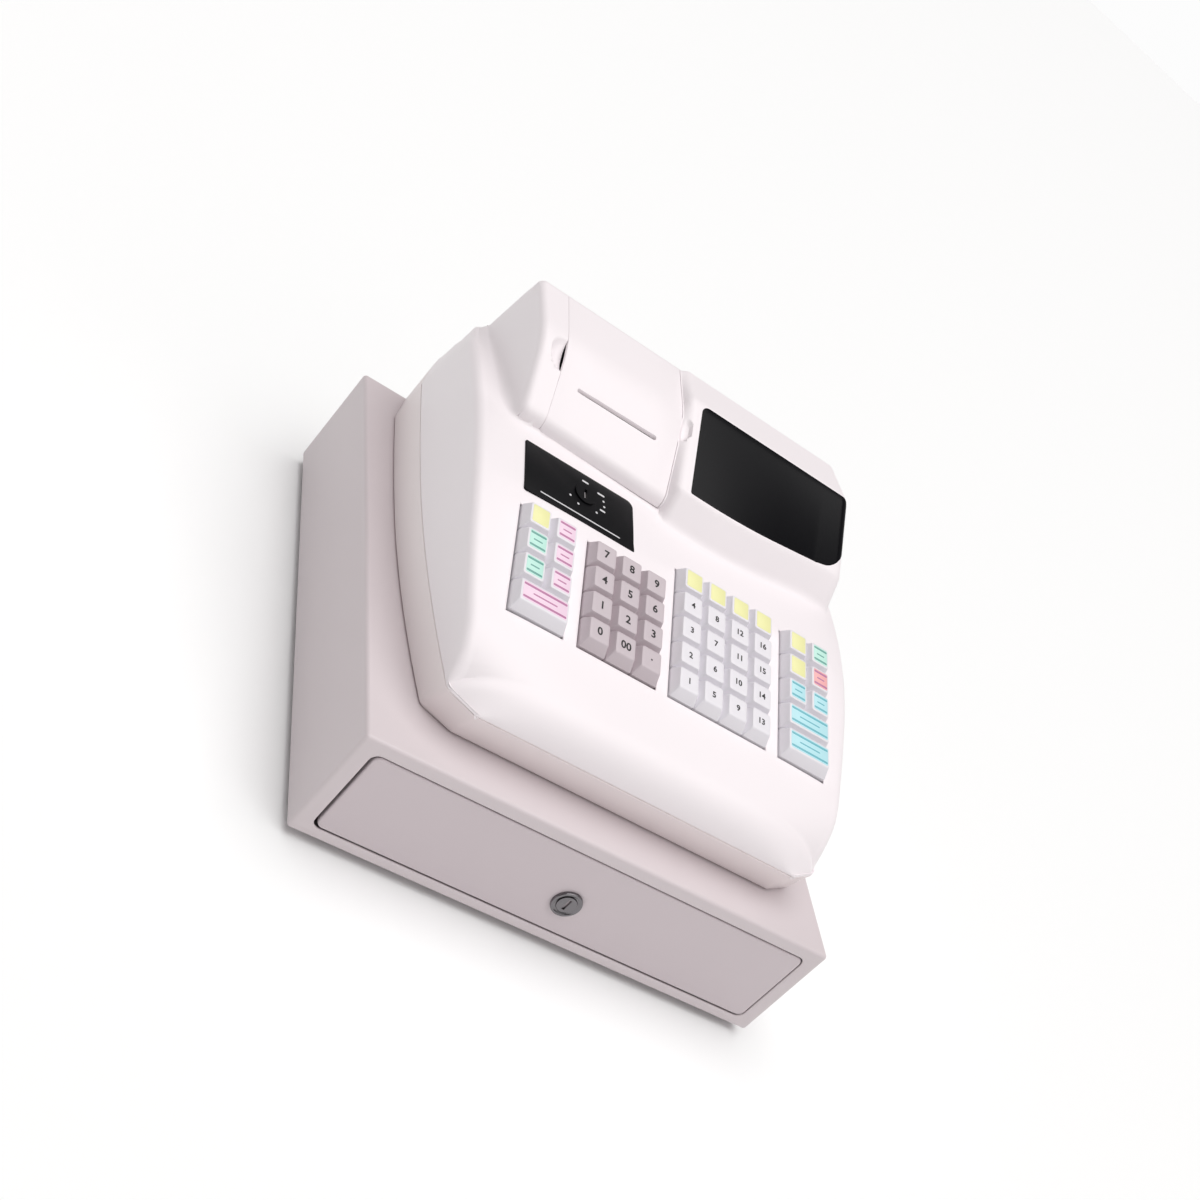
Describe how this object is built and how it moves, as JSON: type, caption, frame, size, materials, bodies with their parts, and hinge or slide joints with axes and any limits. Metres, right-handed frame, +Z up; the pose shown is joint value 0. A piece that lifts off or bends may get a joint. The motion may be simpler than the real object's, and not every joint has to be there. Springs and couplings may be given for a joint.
{
  "type": "ticket register",
  "caption": "Electronic cash register with keyboard, mode switch, hinged printer cover and display hood on a lockable sheet-metal cash drawer",
  "frame": {"origin": "on the counter under the middle of the drawer housing", "axes": "X to the operator's right, Y to the back, Z up"},
  "size_m": [0.33, 0.371, 0.2259],
  "materials": {
    "housing_paint": "satin powder coat",
    "drawer_paint": "satin powder coat",
    "case_upper": "fine satin moulding",
    "case_lower": "fine satin moulding",
    "panel_black": "smooth black",
    "window_black": "smooth smoked black",
    "rubber_black": "matt",
    "zinc_steel": "zinc plated",
    "chrome_trim": "polished",
    "tray_plastic": "satin",
    "board_green": "solder mask",
    "core_steel": "varnished laminations",
    "clip_black": "satin",
    "key_mauve": "satin",
    "key_white": "satin",
    "key_yellow": "satin",
    "key_green": "satin",
    "key_pink": "satin",
    "key_red": "satin",
    "key_cyan": "satin"
  },
  "bodies": {
    "cabinet": {"drawer_housing": "housing_paint", "rubber_feet": "rubber_black", "slide_rails": "zinc_steel", "drawer_solenoid": "zinc_steel", "lower_case": "case_lower", "upper_case": "case_upper", "mode_panel": "panel_black", "display_window": "window_black", "display_board": "board_green", "rear_window": "window_black", "print_mechanism": "zinc_steel", "paper_bin": "tray_plastic", "main_board": "board_green", "key_board": "board_green", "transformer": "core_steel", "power_inlet": "panel_black", "case_screws": "zinc_steel"},
    "drawer": {"drawer_pan": "zinc_steel", "drawer_front": "drawer_paint", "cash_tray": "tray_plastic", "drawer_lock": "chrome_trim"},
    "latch": {"latch_bolt": "zinc_steel"},
    "clip_1": {"bill_clip_1": "clip_black"},
    "clip_2": {"bill_clip_2": "clip_black"},
    "clip_3": {"bill_clip_3": "clip_black"},
    "lock": {"lock_plug": "chrome_trim"},
    "mode_key": {"mode_switch": "panel_black"},
    "cover": {"printer_cover": "case_upper"},
    "platen": {"platen_roller": "rubber_black"},
    "key_7_body": {"key_7": "key_mauve"},
    "key_8_body": {"key_8": "key_mauve"},
    "key_9_body": {"key_9": "key_mauve"},
    "key_4_body": {"key_4": "key_mauve"},
    "key_5_body": {"key_5": "key_mauve"},
    "key_6_body": {"key_6": "key_mauve"},
    "key_1_body": {"key_1": "key_mauve"},
    "key_2_body": {"key_2": "key_mauve"},
    "key_3_body": {"key_3": "key_mauve"},
    "key_0_body": {"key_0": "key_mauve"},
    "key_00_body": {"key_00": "key_mauve"},
    "key_point_body": {"key_point": "key_mauve"},
    "key_left_1_body": {"key_left_1": "key_yellow"},
    "key_left_2_body": {"key_left_2": "key_pink"},
    "key_left_3_body": {"key_left_3": "key_green"},
    "key_left_4_body": {"key_left_4": "key_pink"},
    "key_left_5_body": {"key_left_5": "key_green"},
    "key_left_6_body": {"key_left_6": "key_pink"},
    "key_left_wide_body": {"key_left_wide": "key_pink"},
    "key_right_1_body": {"key_right_1": "key_yellow"},
    "key_right_2_body": {"key_right_2": "key_green"},
    "key_right_3_body": {"key_right_3": "key_yellow"},
    "key_right_4_body": {"key_right_4": "key_red"},
    "key_right_5_body": {"key_right_5": "key_cyan"},
    "key_right_6_body": {"key_right_6": "key_cyan"},
    "key_right_wide_1_body": {"key_right_wide_1": "key_cyan"},
    "key_right_wide_2_body": {"key_right_wide_2": "key_cyan"},
    "key_column_1_body": {"key_column_1": "key_white"},
    "key_column_2_body": {"key_column_2": "key_white"},
    "key_column_3_body": {"key_column_3": "key_white"},
    "key_column_4_body": {"key_column_4": "key_white"}
  },
  "joints": [
    {"name": "drawer_slide", "type": "slide", "parent": "cabinet", "child": "drawer", "axis": [0, -1, 0], "range_m": [0, 0.25]},
    {"name": "latch_slide", "type": "slide", "parent": "cabinet", "child": "latch", "axis": [1, 0, 0], "range_m": [0, 0.01]},
    {"name": "clip_1_lift", "type": "hinge", "parent": "drawer", "child": "clip_1", "pos_m": [-0.09833, 0.132, 0.06], "axis": [-1, 0, 0], "range_deg": [0, 28], "stiffness_Nm_per_rad": 0.06, "springref_deg": -28.65},
    {"name": "clip_2_lift", "type": "hinge", "parent": "drawer", "child": "clip_2", "pos_m": [0, 0.132, 0.06], "axis": [-1, 0, 0], "range_deg": [0, 28], "stiffness_Nm_per_rad": 0.06, "springref_deg": -28.65},
    {"name": "clip_3_lift", "type": "hinge", "parent": "drawer", "child": "clip_3", "pos_m": [0.09833, 0.132, 0.06], "axis": [-1, 0, 0], "range_deg": [0, 28], "stiffness_Nm_per_rad": 0.06, "springref_deg": -28.65},
    {"name": "lock_turn", "type": "hinge", "parent": "drawer", "child": "lock", "pos_m": [0, -0.18, 0.0384], "axis": [0, 1, 0], "range_deg": [0, 90]},
    {"name": "mode_turn", "type": "hinge", "parent": "cabinet", "child": "mode_key", "pos_m": [-0.0685, 0.007, 0.17327], "axis": [0, -0.153, 0.9882], "range_deg": [-60, 60]},
    {"name": "cover_hinge", "type": "hinge", "parent": "cabinet", "child": "cover", "pos_m": [-0.058, 0.14224, 0.21785], "axis": [-1, 0, 0], "range_deg": [0, 75]},
    {"name": "platen_spin", "type": "hinge", "parent": "cabinet", "child": "platen", "pos_m": [-0.058, 0.062, 0.186], "axis": [1, 0, 0], "continuous": true},
    {"name": "key_7_press", "type": "slide", "parent": "cabinet", "child": "key_7_body", "axis": [0, 0.2813, -0.9596], "range_m": [0, 0.003], "stiffness_N_per_m": 300, "springref_m": -0.0015},
    {"name": "key_8_press", "type": "slide", "parent": "cabinet", "child": "key_8_body", "axis": [0, 0.2813, -0.9596], "range_m": [0, 0.003], "stiffness_N_per_m": 300, "springref_m": -0.0015},
    {"name": "key_9_press", "type": "slide", "parent": "cabinet", "child": "key_9_body", "axis": [0, 0.2813, -0.9596], "range_m": [0, 0.003], "stiffness_N_per_m": 300, "springref_m": -0.0015},
    {"name": "key_4_press", "type": "slide", "parent": "cabinet", "child": "key_4_body", "axis": [0, 0.2813, -0.9596], "range_m": [0, 0.003], "stiffness_N_per_m": 300, "springref_m": -0.0015},
    {"name": "key_5_press", "type": "slide", "parent": "cabinet", "child": "key_5_body", "axis": [0, 0.2813, -0.9596], "range_m": [0, 0.003], "stiffness_N_per_m": 300, "springref_m": -0.0015},
    {"name": "key_6_press", "type": "slide", "parent": "cabinet", "child": "key_6_body", "axis": [0, 0.2813, -0.9596], "range_m": [0, 0.003], "stiffness_N_per_m": 300, "springref_m": -0.0015},
    {"name": "key_1_press", "type": "slide", "parent": "cabinet", "child": "key_1_body", "axis": [0, 0.2813, -0.9596], "range_m": [0, 0.003], "stiffness_N_per_m": 300, "springref_m": -0.0015},
    {"name": "key_2_press", "type": "slide", "parent": "cabinet", "child": "key_2_body", "axis": [0, 0.2813, -0.9596], "range_m": [0, 0.003], "stiffness_N_per_m": 300, "springref_m": -0.0015},
    {"name": "key_3_press", "type": "slide", "parent": "cabinet", "child": "key_3_body", "axis": [0, 0.2813, -0.9596], "range_m": [0, 0.003], "stiffness_N_per_m": 300, "springref_m": -0.0015},
    {"name": "key_0_press", "type": "slide", "parent": "cabinet", "child": "key_0_body", "axis": [0, 0.2813, -0.9596], "range_m": [0, 0.003], "stiffness_N_per_m": 300, "springref_m": -0.0015},
    {"name": "key_00_press", "type": "slide", "parent": "cabinet", "child": "key_00_body", "axis": [0, 0.2813, -0.9596], "range_m": [0, 0.003], "stiffness_N_per_m": 300, "springref_m": -0.0015},
    {"name": "key_point_press", "type": "slide", "parent": "cabinet", "child": "key_point_body", "axis": [0, 0.2813, -0.9596], "range_m": [0, 0.003], "stiffness_N_per_m": 300, "springref_m": -0.0015},
    {"name": "key_left_1_press", "type": "slide", "parent": "cabinet", "child": "key_left_1_body", "axis": [0, 0.2813, -0.9596], "range_m": [0, 0.003], "stiffness_N_per_m": 300, "springref_m": -0.0015},
    {"name": "key_left_2_press", "type": "slide", "parent": "cabinet", "child": "key_left_2_body", "axis": [0, 0.2813, -0.9596], "range_m": [0, 0.003], "stiffness_N_per_m": 300, "springref_m": -0.0015},
    {"name": "key_left_3_press", "type": "slide", "parent": "cabinet", "child": "key_left_3_body", "axis": [0, 0.2813, -0.9596], "range_m": [0, 0.003], "stiffness_N_per_m": 300, "springref_m": -0.0015},
    {"name": "key_left_4_press", "type": "slide", "parent": "cabinet", "child": "key_left_4_body", "axis": [0, 0.2813, -0.9596], "range_m": [0, 0.003], "stiffness_N_per_m": 300, "springref_m": -0.0015},
    {"name": "key_left_5_press", "type": "slide", "parent": "cabinet", "child": "key_left_5_body", "axis": [0, 0.2813, -0.9596], "range_m": [0, 0.003], "stiffness_N_per_m": 300, "springref_m": -0.0015},
    {"name": "key_left_6_press", "type": "slide", "parent": "cabinet", "child": "key_left_6_body", "axis": [0, 0.2813, -0.9596], "range_m": [0, 0.003], "stiffness_N_per_m": 300, "springref_m": -0.0015},
    {"name": "key_left_wide_press", "type": "slide", "parent": "cabinet", "child": "key_left_wide_body", "axis": [0, 0.2813, -0.9596], "range_m": [0, 0.003], "stiffness_N_per_m": 300, "springref_m": -0.0015},
    {"name": "key_right_1_press", "type": "slide", "parent": "cabinet", "child": "key_right_1_body", "axis": [0, 0.2813, -0.9596], "range_m": [0, 0.003], "stiffness_N_per_m": 300, "springref_m": -0.0015},
    {"name": "key_right_2_press", "type": "slide", "parent": "cabinet", "child": "key_right_2_body", "axis": [0, 0.2813, -0.9596], "range_m": [0, 0.003], "stiffness_N_per_m": 300, "springref_m": -0.0015},
    {"name": "key_right_3_press", "type": "slide", "parent": "cabinet", "child": "key_right_3_body", "axis": [0, 0.2813, -0.9596], "range_m": [0, 0.003], "stiffness_N_per_m": 300, "springref_m": -0.0015},
    {"name": "key_right_4_press", "type": "slide", "parent": "cabinet", "child": "key_right_4_body", "axis": [0, 0.2813, -0.9596], "range_m": [0, 0.003], "stiffness_N_per_m": 300, "springref_m": -0.0015},
    {"name": "key_right_5_press", "type": "slide", "parent": "cabinet", "child": "key_right_5_body", "axis": [0, 0.2813, -0.9596], "range_m": [0, 0.003], "stiffness_N_per_m": 300, "springref_m": -0.0015},
    {"name": "key_right_6_press", "type": "slide", "parent": "cabinet", "child": "key_right_6_body", "axis": [0, 0.2813, -0.9596], "range_m": [0, 0.003], "stiffness_N_per_m": 300, "springref_m": -0.0015},
    {"name": "key_right_wide_1_press", "type": "slide", "parent": "cabinet", "child": "key_right_wide_1_body", "axis": [0, 0.2813, -0.9596], "range_m": [0, 0.003], "stiffness_N_per_m": 300, "springref_m": -0.0015},
    {"name": "key_right_wide_2_press", "type": "slide", "parent": "cabinet", "child": "key_right_wide_2_body", "axis": [0, 0.2813, -0.9596], "range_m": [0, 0.003], "stiffness_N_per_m": 300, "springref_m": -0.0015},
    {"name": "key_column_1_press", "type": "slide", "parent": "cabinet", "child": "key_column_1_body", "axis": [0, 0.2813, -0.9596], "range_m": [0, 0.003], "stiffness_N_per_m": 500, "springref_m": -0.0015},
    {"name": "key_column_2_press", "type": "slide", "parent": "cabinet", "child": "key_column_2_body", "axis": [0, 0.2813, -0.9596], "range_m": [0, 0.003], "stiffness_N_per_m": 500, "springref_m": -0.0015},
    {"name": "key_column_3_press", "type": "slide", "parent": "cabinet", "child": "key_column_3_body", "axis": [0, 0.2813, -0.9596], "range_m": [0, 0.003], "stiffness_N_per_m": 500, "springref_m": -0.0015},
    {"name": "key_column_4_press", "type": "slide", "parent": "cabinet", "child": "key_column_4_body", "axis": [0, 0.2813, -0.9596], "range_m": [0, 0.003], "stiffness_N_per_m": 500, "springref_m": -0.0015}
  ]
}
